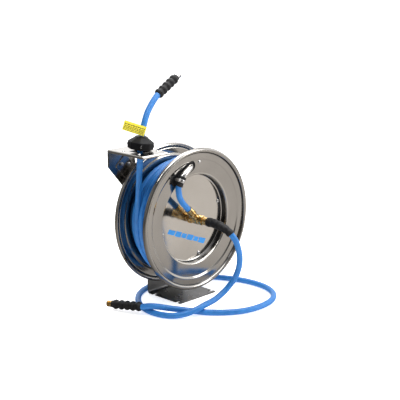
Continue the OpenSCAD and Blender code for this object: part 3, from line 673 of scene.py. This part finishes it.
def winding():
    """Two layers of closed rings, and an outer layer of three and a half turns that spirals."""
    parts = []
    pitch, outer_r = 17, 159
    for r, first, turns in ((131, -42.5, 6), (145, -34, 5)):
        for i in range(turns):
            path = []
            for k in range(97):
                a = 2 * math.pi * k / 96
                path.append(FRONT @ Vector((r * math.cos(a), r * math.sin(a), -(first + pitch * i)
                                            + 0.3 * math.sin(3 * a + i))))
            parts.append(sweep(path, 7.95, 14, caps=False, side=Vector((0, 1, 0.01))))
    # The outer turns lie side by side and step over to the next one between the top and the guide.
    path, radii = [], []
    steps_per_turn, turns = 110, 3.5
    count = int(turns * steps_per_turn)      # from where the hose leaves for the guide
    for k in range(count + 1):
        t = turns * k / count
        a = math.pi + 2 * math.pi * t
        step = min(1.0, max(0.0, (t % 1 - 0.62) / 0.34))
        crossed = min(3.0, int(t) + step * step * (3 - 2 * step))
        grown = min(1.0, t * 4)
        y = max(-42.4, 8.5 - pitch * crossed + grown * 0.35 * math.sin(2.3 * a))
        dive = max(0.0, (t - turns + 0.12) / 0.12)      # the last stretch sinks between the turns below
        r = outer_r + grown * 0.4 * math.sin(1.7 * a) - 28 * dive * dive * (3 - 2 * dive)
        path.append(FRONT @ Vector((r * math.cos(a), r * math.sin(a), -y)))
        radii.append(7.4 + 0.6 * min(1.0, k / 4))
    parts.append(sweep(path, radii, 20, side=Vector((0, 1, 0.01))))
    return join(*parts)


piece("wound_hose_turns", *winding(), HOSE, "drum", "wound_hose", "blue_hose", angle=60)


# ---------------------------------------------------------------- swivel, link hose and gooseneck

# The swivel's side port points up and to the left.
PORT = FRONT @ Matrix.Translation((0, 0, 56)) @ Matrix.Rotation(math.radians(135), 4, "Z") \
    @ Matrix.Rotation(math.radians(90), 4, "Y")


def swivel_turning_half():
    body = [(8.05, 42), (8.05, 70), (11.6, 70), (12.4, 69.4), (12.4, 67.4), (11.9, 67), (11.9, 66.2),
            (13.2, 65.6), (13.5, 65), (13.5, 47.2), (13.0, 46.4), (11.0, 46), (11.0, 40), (8.05, 40)]
    spigot = [(4, 28.2), (15.4, 28.2), (15.4, 32), (10.1, 32.1), (10.1, 34), (4, 34)]
    boss = [(4, 9), (11.4, 9), (10.4, 12), (9.6, 13.6), (9.4, 15), (9.4, 17.4), (8.6, 17.8), (8.6, 21),
            (4, 21)]
    return join(lathe(body, FRONT, 64), lathe(spigot, FRONT, 64), hex_head(15, 32.6, 40.2, FRONT, 12),
                lathe(boss, PORT, 48))


piece("swivel_turning_half", *swivel_turning_half(), BRASS, "drum", "swivel_body", "brass")
port_crimp = [(8.0, 30), (9.0, 30), (9.2, 30.5), (9.2, 32.5), (9.8, 33), (10, 34), (10, 36), (9.4, 36.6),
              (9.4, 38), (10, 38.6), (10, 41), (9.4, 41.6), (9.4, 43), (10, 43.6), (10, 46.4),
              (9.5, 47.6), (8.0, 47.6)]
piece("port_nut_and_ferrule", *join(hex_head(11.5, 21, 30, PORT, 10), lathe(port_crimp, PORT, 48)), BRASS,
      "drum", "port_fitting", "brass")

stem = [(4, 44), (8, 44), (8, 45), (6.5, 45), (6.5, 46.4), (8, 46.4), (8, 49), (6.5, 49), (6.5, 51.4),
        (8, 51.4), (8, 62), (6.5, 62), (6.5, 64.4), (8, 64.4), (8, 70.4), (11.2, 70.4), (11.2, 70.9),
        (4, 70.9)]
piece("swivel_fixed_stem", *join(lathe(stem, FRONT, 64), hex_head(13.5, 70.9, 79.6, FRONT, 5)), BRASS,
      "frame", "swivel_stem", "brass")
ferrule = [(8.02, 79.7), (8.5, 79.7), (8.5, 82.4), (9.6, 82.8), (11, 83.4), (11, 85.4), (10.3, 86),
           (10.3, 87.2), (11, 87.8), (11, 90), (10.3, 90.6), (10.3, 91.8), (11, 92.4), (11, 94.4),
           (10.4, 95), (8.02, 95)]
piece("lead_hose_ferrule", *lathe(ferrule, FRONT, 64), BRASS, "frame", "lead_ferrule", "brass")

neck_path = smooth_route(NECK_ROUTE, 3)
piece("gooseneck_tube", *sweep(neck_path, 8.7, 36), CHROME, "drum", "gooseneck", "gooseneck_tube", angle=60)


def cuff():
    """Rubber sleeve with a lip near each end, where the link hose enters the gooseneck."""
    path = smooth_route([(-74.2, -62.8, 328.7), (-72, -63.8, 335), (-69, -64, 342.5), (-61, -64, 352)], 1.2)
    n = len(path)
    radii = []
    for i in range(n):
        t = i / (n - 1)
        lip = max(math.exp(-((t - 0.06) / 0.06) ** 2), math.exp(-((t - 0.93) / 0.07) ** 2))
        end = 1.6 * max(0.0, 1 - t / 0.05) ** 2 + 1.6 * max(0.0, 1 - (1 - t) / 0.05) ** 2
        radii.append(10.0 + 1.0 * lip - end)
    return sweep(path, radii, 40)


piece("neck_cuff", *cuff(), BLACK, "drum", "neck_grommet", "black_rubber", angle=60)


def worm_clamp():
    """Band with a worm screw in its housing."""
    m = Matrix.Translation((-70.2, -64, 338.2)) @ Matrix.Rotation(math.radians(26), 4, "Y")
    band = [(10.25, 0), (11.0, 0), (11.15, 0.3), (11.15, 8.2), (11.0, 8.5), (10.25, 8.5)]
    housing = block(-15.6, -10.2, -5, 5, 0.4, 8.1, m)
    screw_at = m @ Matrix.Translation((-13.4, 0, 4.2)) @ Matrix.Rotation(math.radians(90), 4, "X")
    screw = join(lathe([(0.01, -8), (2.4, -8), (2.4, 8), (0.01, 8)], screw_at, 24),
                 hex_head(3.9, 5.5, 9.0, screw_at))
    return join(lathe(band, m, 64), housing, screw)


bevelled(piece("neck_worm_clamp", *worm_clamp(), ZINC, "drum", "neck_clamp", "plated_steel"), 0.5, 2)


# ---------------------------------------------------------------- stand

def pedestal():
    """Base and upright folded from one sheet, with a rounded fold and four open notches."""
    t, w, front, back = 3.0, 69.0, -58.0, 73.0
    bend, corner, notch_r, notch_deep = 5.0, 4, 4.5, 9
    fold_y, fold_z = back - bend - t, bend + t
    right = [(w - corner, front)] + arc(w - corner, front + corner, corner, -90, 0, 5)
    for y in (front + 14, 48):
        right += [(w, y - notch_r)] + arc(w - notch_deep, y, notch_r, 270, 90, 10) + [(w, y + notch_r)]
    left = [(-x, y) for x, y in right[::-1]]
    outline = right + [(w, fold_y), (-w, fold_y)] + left
    parts = [prism(outline, 0, t, Matrix.Identity(4))]
    ring = arc(fold_y, fold_z, bend + t, -90, 0, 9) + arc(fold_y, fold_z, bend, 0, -90, 9)
    verts = [(x, y, z) for x in (-w, w) for y, z in ring]
    n = len(ring)
    faces = [tuple(range(n - 1, -1, -1)), tuple(range(n, 2 * n))]
    faces += [(i, (i + 1) % n, n + (i + 1) % n, n + i) for i in range(n)]
    parts.append((verts, faces))
    up = [(-w, fold_z), (w, fold_z), (w, 110), (50, AXLE_Z)] + arc(26, AXLE_Z + 36, 10, 10, 90, 6) \
        + arc(-26, AXLE_Z + 36, 10, 90, 170, 6) + [(-50, AXLE_Z), (-w, 110)]
    plane = Matrix(((1, 0, 0, 0), (0, 0, -1, back), (0, 1, 0, 0), (0, 0, 0, 1)))
    parts.append(prism(up, 0, t, plane))
    return join(*parts)


# The pedestal's dark stainless is painted shade and dark reflection.
bevelled(piece("folded_pedestal", *pedestal(), PAINTED_SHADE_PEDESTAL, "frame", "pedestal", "polished_sheet"), 0.5, 2)


ARM_TURN = 132.7      # direction of the arm from the axle, seen from the front


def guide_arm():
    """Flat bar with a round foot about the axle and two rounded corners at its far end."""
    m = at_axle(76.2) @ Matrix.Rotation(math.radians(ARM_TURN), 4, "Z")
    half, foot_r, corner, reach = 23.0, 45.0, 6, 228
    start = math.degrees(math.asin(half / foot_r))
    outline = arc(0, 0, foot_r, start, 360 - start, 60) + [(reach - corner, -half)] \
        + arc(reach - corner, -half + corner, corner, -90, 0, 5) \
        + arc(reach - corner, half - corner, corner, 0, 90, 5)
    return prism(outline, 0, 3, m)


arm = piece("guide_arm_bar", *guide_arm(), PAINTED_SHADE_SHEET, "frame", "guide_arm", "polished_sheet",
            extra=(CHROME,))
# Painted shade and highlight: the bar's flat faces get the darker stainless and its edges the bright chrome.
for face in arm.data.polygons:
    face.material_index = 0 if abs(face.normal.y) > 0.5 else 1
bevelled(arm, 0.5, 2)


HEAD_SHEET, HEAD_BEND, HEAD_DROP = 2.5, 4.0, 7.0


def fold(p0, p1, out):
    """Rounded fold and flange along the edge from p0 to p1. out is the direction away from the plate."""
    t, bend, drop = HEAD_SHEET, HEAD_BEND, HEAD_DROP
    p0, p1, out = Vector(p0), Vector(p1), Vector(out)
    down = Vector((0, 0, -1))
    outer, inner = [], []
    for a in range(0, 91, 10):
        s, c = math.sin(math.radians(a)), math.cos(math.radians(a))
        outer.append(out * bend * s + down * (bend - bend * c))
        inner.append(out * (bend - t) * s + down * (bend - (bend - t) * c))
    loop = outer + [out * bend + down * drop, out * (bend - t) + down * drop] + inner[::-1]
    n = len(loop)
    verts = [p0 + q for q in loop] + [p1 + q for q in loop]
    faces = [tuple(range(n - 1, -1, -1)), tuple(range(n, 2 * n))]
    faces += [(i, (i + 1) % n, n + (i + 1) % n, n + i) for i in range(n)]
    return verts, faces


def guide_head():
    """Tray with a square window for the hose, and a side plate that bolts to the arm."""
    t, bend, drop = HEAD_SHEET, HEAD_BEND, HEAD_DROP
    left, right, front, back, top = -197.0, -107.0, -60.0, 78.9, GUIDE.z
    window = 21.0
    x0, x1, y0, y1 = left + bend, right - bend, front + bend, back - bend
    grid_x = [x0, GUIDE.x - window, GUIDE.x + window, x1]
    grid_y = [y0, -window, window, y1]
    parts = [block(grid_x[i], grid_x[i + 1], grid_y[j], grid_y[j + 1], top - t, top)
             for i in range(3) for j in range(3) if (i, j) != (1, 1)]
    parts.append(fold((x0, y0, top), (x1, y0, top), (0, -1, 0)))
    parts.append(fold((x0, y1, top), (x0, y0, top), (-1, 0, 0)))
    parts.append(fold((x1, y0, top), (x1, y1, top), (1, 0, 0)))
    parts.append(fold((x1, y1, top), (x0, y1, top), (0, 1, 0)))
    for x, y in ((x0, y0), (x1, y0), (x0, y1), (x1, y1)):
        corner = [(0, 0)]
        for a in range(0, 91, 15):
            s, c = math.sin(math.radians(a)), math.cos(math.radians(a))
            corner.append((bend * s, -(bend - bend * c)))
        corner += [(bend, -drop), (bend - t, -drop), (bend - t, -bend), (0, -t)]
        parts.append(lathe(corner, Matrix.Translation((x, y, top)), 32))
    side = at_axle(back)
    z = top - AXLE_Z
    outline = [(left + 7, z - bend), (left + 2, z - bend - 5), (left + 2, 154), (-138, 86), (-97, 132),
               (right, z - bend)]
    parts.append(prism(outline, 0, t, side))
    strip = [(left + 2, z - 12), (left + 2, 156), (left + 2 + t, 156), (left + 2 + t, z - 12)]
    parts.append(prism(strip, t, 6, side))
    return join(*parts)


head = piece("guide_head_sheet", *guide_head(), STAINLESS, "frame", "guide_head", "polished_sheet",
             extra=(PAINTED_SHADE_SHEET,))
# Painted shade: the side plate and its strip get the darker stainless, though they are one sheet with the
# top.
for face in head.data.polygons:
    face.material_index = 1 if face.center.y > 0.070 and face.center.z < 0.4215 else 0
bevelled(head, 0.3, 2)


def hex_bolts(places, shank, head_r, head_h, grip, nut_h):
    """Bolts, each with a washer under the head and a nut. Local Z points out of the head."""
    parts = []
    for m in places:
        parts.append(hex_head(head_r, 0.3, head_h, m))
        parts.append(lathe([(shank, 0), (head_r * 1.12, 0), (head_r * 1.12, 0.35), (shank, 0.35)], m, 32))
        parts.append(hex_head(head_r, -grip - nut_h, -grip, m))
        tip = -grip - nut_h - 2
        rod = [(0, 0.5), (shank, 0.5), (shank, tip + 0.6), (shank - 0.6, tip), (0, tip)]
        parts.append(solid_lathe(rod, m, 24))
    return join(*parts)


def on_arm(y, turn, x, across=0.0):
    """Place at a distance from the axle, turned from straight along the arm."""
    return at_axle(y) @ Matrix.Rotation(math.radians(ARM_TURN + turn), 4, "Z") \
        @ Matrix.Translation((x, across, 0))


arm_bolt_places = [on_arm(70, 90 * i - 90, 34) for i in range(4)]
piece("arm_hex_bolts", *hex_bolts(arm_bolt_places, 4, 7, 5, 6.2, 6), ZINC, "frame", "arm_bolts",
      "plated_steel")
head_bolt_places = [on_arm(73.2, 0, x, across) for x, across in ((218.5, 6), (200, -9.5))]
piece("head_hex_bolts", *hex_bolts(head_bolt_places, 3, 5.5, 4, 5.7, 5), STEEL, "frame", "head_bolts",
      "plated_steel")


def threaded_axle():
    rows = [(0.01, 26.5), (11.5, 26.5), (12.5, 25.5), (12.5, -60.8), (22, -60.8), (22, -70), (12.5, -70)]
    h = -76
    while h > -91.6:
        rows += [(12.45, h), (11.8, h - 0.75)]
        h -= 1.5
    rows += [(11.2, -93), (0.01, -93)]
    return solid_lathe(rows, FRONT, 64)


piece("threaded_axle", *threaded_axle(), ZINC, "frame", "axle", "plated_steel")
washer = [(12.6, -76.5), (18.6, -76.5), (19, -76.9), (19, -78.5), (18.6, -78.9), (12.6, -78.9)]
piece("axle_flat_washer", *lathe(washer, FRONT, 64), ZINC, "frame", "axle_washer", "plated_steel")
piece("axle_hex_nut", *hex_head(20, -88.9, -78.95, FRONT, 8), ZINC, "frame", "axle_nut", "plated_steel")


# ---------------------------------------------------------------- hose stop, its tag

def part_lathe(profile, m, a0, a1, n, facets, facet_depth):
    """Revolves a closed profile part of the way round, with closed ends and slightly flat facets."""
    verts, faces = [], []
    count = len(profile)
    step = 2 * math.pi / facets
    bore_r = 12      # nothing inside this is flattened
    for k in range(n + 1):
        a = math.radians(a0 + (a1 - a0) * k / n)
        flat = math.cos(step / 2) / math.cos((a % step) - step / 2)
        for r, h in profile:
            r_here = r * (1 - facet_depth * (1 - flat)) if r > bore_r else r
            verts.append(m @ Vector((r_here * math.cos(a), r_here * math.sin(a), h)))
    for k in range(n):
        for i in range(count):
            j = (i + 1) % count
            faces.append((k * count + i, (k + 1) * count + i, (k + 1) * count + j, k * count + j))
    faces += [tuple(range(count - 1, -1, -1)), tuple(range(n * count, (n + 1) * count))]
    return verts, faces


stop_profile = [(8.05, 0.4), (8.8, 0), (31, 0)] + arc(31, 3, 3, -90, 0, 6) + [(34, 3), (34, 17.4)] \
    + arc(31.4, 17.4, 2.6, 0, 48, 5) + [(16.5, 30.8)] + arc(14.8, 29.2, 3.2, 50, 90, 4) + [(11, 33.4)] \
    + arc(10, 32.6, 1.4, 60, 90, 2) + [(8.6, 34), (8.05, 33.4)]
STOP_ON_HEAD = Matrix.Translation((0, 0, 2.5)) @ STOP_PLACE
PARTING = 0.35      # degrees left open on each side of the line between the halves
for side, start in (("front", 180), ("rear", 0)):
    shell = part_lathe(stop_profile, STOP_ON_HEAD, start + PARTING, start + 180 - PARTING, 64, 8, 0.6)
    piece("stop_%s_shell" % side, *shell, STOP_RUBBER, "hose_end", "stop_%s_half" % side, "black_rubber")


def stop_bolts():
    parts = []
    for s in (-1, 1):
        m = STOP_ON_HEAD @ Matrix(((1, 0, 0, 20 * s), (0, 0, -1, 0), (0, 1, 0, 10), (0, 0, 0, 1)))
        socket_head = [(0, 24.5), (2.0, 24.5), (2.0, 26.4), (3.6, 26.4), (4.0, 26), (4.0, 23), (0, 23)]
        parts.append(lathe([(0.01, -26), (2.5, -26), (2.5, 23), (0.01, 23)], m, 24))
        parts.append(solid_lathe(socket_head, m, 32))
        parts.append(hex_head(4.2, -27, -24, m))
    return join(*parts)


piece("stop_clamp_bolts", *stop_bolts(), DARK_BOLT, "hose_end", "stop_bolts", "plated_steel")

TAG_PLACE = Matrix.Translation((-166.2, 3.3, 486.4)) @ Matrix.Rotation(math.radians(-45), 4, "Z") \
    @ Matrix.Rotation(math.radians(18), 4, "Y")
TAG_LONG, TAG_HIGH = 59.0, 25.5


def tag_point(x, z, lift=0.0):
    """Point on the tag's front face, which curls gently along its length."""
    curl = 0.0011 * (x - 8) ** 2 if x < 8 else 0.0
    return TAG_PLACE @ Vector((x, 0.4 + curl - lift, z))


def tag_sheet():
    """Curled card of even thickness, with the strap that holds it to the hose."""
    nx, nz = 27, 6
    verts, faces = [], []
    for lift in (0.0, -0.5):
        for i in range(nx + 1):
            for j in range(nz + 1):
                verts.append(tag_point(TAG_LONG * (i / nx - 0.5), TAG_HIGH * (j / nz - 0.5), lift))
    stride, layer = nz + 1, (nx + 1) * (nz + 1)
    for i in range(nx):
        for j in range(nz):
            a = i * stride + j
            faces.append((a, a + stride, a + stride + 1, a + 1))
            faces.append((layer + a, layer + a + 1, layer + a + stride + 1, layer + a + stride))
    rim = [i * stride for i in range(nx + 1)] + [nx * stride + j for j in range(1, nz + 1)] \
        + [i * stride + nz for i in range(nx - 1, -1, -1)] + [j for j in range(nz - 1, 0, -1)]
    for k in range(len(rim)):
        a, b = rim[k], rim[(k + 1) % len(rim)]
        faces.append((a, b, layer + b, layer + a))
    strap = lathe([(8.05, 0), (8.7, 0), (8.7, 5), (8.05, 5)], placed((-143, -2, 481.5), bearing(13, 66)), 48)
    return join((verts, faces), strap)


def tag_lines():
    """Rows of plain dashes, standing for small print."""
    parts = []
    draw = random.Random(3)
    for z0, high in ((5.2, 2.4), (0.6, 1.8), (-3.2, 1.8), (-6.8, 1.6), (-10.2, 1.4)):
        x = -27.5
        while x < 26:
            w = draw.uniform(2.0, 6.0)
            x1 = min(x + w, 27.0)
            n = 3
            top = [tag_point(x + (x1 - x) * k / n, z0 + high / 2, 0.06) for k in range(n + 1)]
            low = [tag_point(x + (x1 - x) * k / n, z0 - high / 2, 0.06) for k in range(n + 1)]
            parts.append((top + low, [(k, n + 1 + k, n + 2 + k, k + 1) for k in range(n)]))
            x = x1 + draw.uniform(0.8, 1.5)
    return join(*parts)


piece("hose_tag_sheet", *tag_sheet(), YELLOW, "hose_end", "hose_tag", "yellow_tag", angle=50)
piece("hose_tag_print", *tag_lines(), INK, "hose_end", slot="yellow_tag")


# ---------------------------------------------------------------- CAD pieces that keep their shape

KEEP = {
    STEEL: ("drum_core", "front_hub", "rear_hub", "spring_arbor", "spring_case", "spring_cover",
            "ratchet_wheel", "ratchet_pawl"),
    ZINC: ("roller_cage", "roller_pins", "cage_rivets", "front_retaining_ring", "pawl_pivot", "pawl_spring",
           "swivel_retaining_ring"),
    SPRING: ("main_spring",),
    BRONZE: ("front_bushing", "rear_bushing"),
    SEAL: ("swivel_seals",),
    NYLON: ("roller_left", "roller_right", "roller_front", "roller_rear"),
}
for material, names in KEEP.items():
    for name in names:
        for s in frame["nodes"][name].material_slots:
            s.material = material


# ---------------------------------------------------------------- floor and light

def floor():
    """White floor, just under the feet of the stand."""
    n = Nodes("floor")
    tree = n.tree
    n.shader.inputs["Base Color"].default_value = (0.93, 0.93, 0.93, 1)
    n.shader.inputs["Roughness"].default_value = 0.85
    n.shader.inputs["Emission Color"].default_value = (1, 1, 1, 1)
    n.shader.inputs["Emission Strength"].default_value = 0.70
    mesh = bpy.data.meshes.new("floor")
    size, z = 40, -0.0006
    mesh.from_pydata([(-size, -size, z), (size, -size, z), (size, size, z), (-size, size, z)],
                     [], [(0, 1, 2, 3)])
    obj = bpy.data.objects.new("floor", mesh)
    mesh.materials.append(n.material)
    bpy.context.scene.collection.objects.link(obj)
    # In reflections the floor is darker, and darkest to the left and beyond.
    path = tree.nodes.new("ShaderNodeLightPath")
    grey = tree.nodes.new("ShaderNodeBsdfDiffuse")
    across = tree.nodes.new("ShaderNodeVectorMath")
    across.operation = "DOT_PRODUCT"
    across.inputs[1].default_value = (1, -1, 0)
    n.link(n.place, across.inputs[0])
    span = n.ranged(across.outputs["Value"], 0.0, 1.0, -1.0, 2.0)
    tone = n.ramp(span, *((at, (level, level * 0.95, level * 0.90))
                          for at, level in ((0.12, 0.16), (0.36, 0.34), (0.62, 0.50))))
    n.link(tone, grey.inputs["Color"])
    mix = tree.nodes.new("ShaderNodeMixShader")
    out = next(x for x in tree.nodes if x.type == "OUTPUT_MATERIAL")
    n.link(path.outputs["Is Glossy Ray"], mix.inputs["Fac"])
    n.link(n.shader.outputs["BSDF"], mix.inputs[1])
    n.link(grey.outputs["BSDF"], mix.inputs[2])
    n.link(mix.outputs["Shader"], out.inputs["Surface"])


def world():
    """White to the camera; in reflections, dark on the left and bright on the right and beyond."""
    w = bpy.data.worlds.new("studio")
    bpy.context.scene.world = w
    w.use_nodes = True
    tree = w.node_tree
    link = tree.links.new
    back = tree.nodes["Background"]
    out = next(x for x in tree.nodes if x.type == "OUTPUT_WORLD")
    place = tree.nodes.new("ShaderNodeTexCoord")
    away = tree.nodes.new("ShaderNodeVectorMath")
    away.operation = "DOT_PRODUCT"
    away.inputs[1].default_value = (0.90, 0.36, 0.25)
    link(place.outputs["Generated"], away.inputs[0])
    tone = tree.nodes.new("ShaderNodeValToRGB")
    for _ in range(2):
        tone.color_ramp.elements.new(0.5)
    levels = ((0.0, 0.12), (0.40, 0.18), (0.62, 0.50), (0.82, 1.35))
    for element, (at, level) in zip(tone.color_ramp.elements, levels):
        element.position = at
        element.color = (level, level, level * 1.01, 1)
    spread = tree.nodes.new("ShaderNodeMapRange")
    spread.inputs["From Min"].default_value = -1
    link(away.outputs["Value"], spread.inputs["Value"])
    link(spread.outputs["Result"], tone.inputs["Fac"])
    drift = tree.nodes.new("ShaderNodeTexNoise")
    drift.inputs["Scale"].default_value = 2.2
    drift.inputs["Detail"].default_value = 1
    link(place.outputs["Generated"], drift.inputs["Vector"])
    vary = tree.nodes.new("ShaderNodeMapRange")
    for key, number in (("From Min", 0.35), ("From Max", 0.65), ("To Min", 0.65), ("To Max", 1.25)):
        vary.inputs[key].default_value = number
    link(drift.outputs["Fac"], vary.inputs["Value"])
    link(tone.outputs["Color"], back.inputs["Color"])
    link(vary.outputs["Result"], back.inputs["Strength"])
    white = tree.nodes.new("ShaderNodeBackground")
    white.inputs["Color"].default_value = (1, 1, 1, 1)
    white.inputs["Strength"].default_value = 1.05
    path = tree.nodes.new("ShaderNodeLightPath")
    mix = tree.nodes.new("ShaderNodeMixShader")
    link(path.outputs["Is Camera Ray"], mix.inputs["Fac"])
    link(back.outputs["Background"], mix.inputs[1])
    link(white.outputs["Background"], mix.inputs[2])
    link(mix.outputs["Shader"], out.inputs["Surface"])


def area(name, at, look, size, power):
    """Rectangular lamp at a place, in metres, that faces another."""
    data = bpy.data.lights.new(name, "AREA")
    data.shape = "RECTANGLE"
    data.size, data.size_y = size
    data.energy = power
    obj = bpy.data.objects.new(name, data)
    obj.location = at
    obj.rotation_euler = (Vector(look) - Vector(at)).to_track_quat("-Z", "Y").to_euler()
    bpy.context.scene.collection.objects.link(obj)


floor()
world()
area("overhead", (0.4, -0.5, 2.2), (0, 0, 0.2), (1.8, 1.8), 42)
area("rear_key", (0.6, 0.9, 1.9), (-0.05, 0, 0.3), (0.6, 0.6), 10)
area("left_top", (-0.9, -0.2, 1.9), (-0.05, 0, 0.4), (0.7, 0.4), 6)
area("left_side", (-2.4, -0.6, 1.4), (0, 0, 0.2), (0.7, 1.6), 1.0)
area("right_side", (1.6, -1.9, 1.0), (0, 0, 0.2), (0.5, 1.6), 14)
bpy.context.scene.view_settings.view_transform = "Standard"
